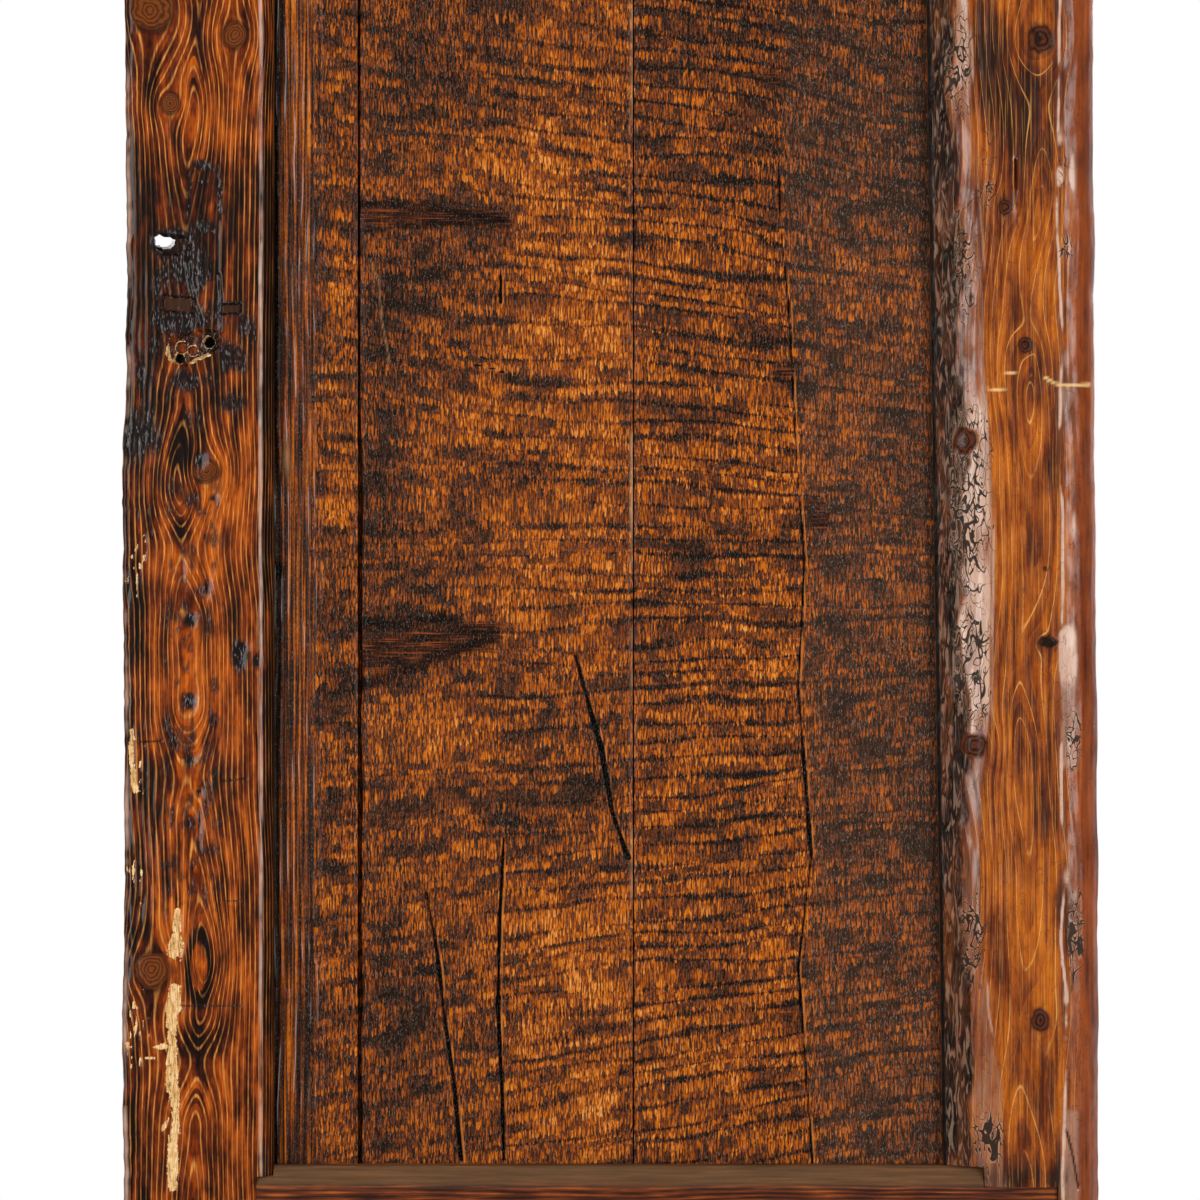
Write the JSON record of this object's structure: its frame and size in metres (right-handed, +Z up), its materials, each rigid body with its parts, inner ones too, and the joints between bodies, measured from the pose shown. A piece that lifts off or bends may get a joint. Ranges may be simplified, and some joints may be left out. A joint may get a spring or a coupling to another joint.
{
  "type": "arched wooden door",
  "caption": "Rustic arched door leaf: boards framed by a brushed lock stile, a waney hinge stile and rails, hung by strap hinges on drive-in pintles.",
  "frame": {"origin": "centre of the part's box at the foot of the leaf", "axes": "+Z up, -Y the front face with the lock scars, +X towards the hinge stile and the pintles"},
  "size_m": [1.1, 0.0891, 2.1],
  "materials": {
    "lock_wood": "brushed softwood, dark stain, glossy varnish",
    "slab_wood": "smooth waney slab, amber stain, glossy varnish",
    "rail_wood": "dark stained softwood, dusty satin varnish",
    "board_wood": "rough-sawn softwood, dark stain, satin varnish",
    "peg_wood": "dark oak end grain",
    "iron": "forge-black iron with light rust"
  },
  "bodies": {
    "pintles": {"upper_pintle": "iron", "lower_pintle": "iron"},
    "leaf": {"lock_stile": "lock_wood", "hinge_stile": "slab_wood", "head_rail": "rail_wood", "bottom_rail": "rail_wood", "narrow_board": "board_wood", "middle_board": "board_wood", "heart_board": "board_wood", "corner_pegs": "peg_wood", "board_nails": "iron", "strap_nails": "iron", "upper_strap": "iron", "lower_strap": "iron"}
  },
  "joints": [
    {"name": "leaf_swing", "type": "hinge", "parent": "pintles", "child": "leaf", "pos_m": [0.445, 0.0315, 0], "axis": [0, 0, -1], "range_deg": [0, 110]}
  ]
}
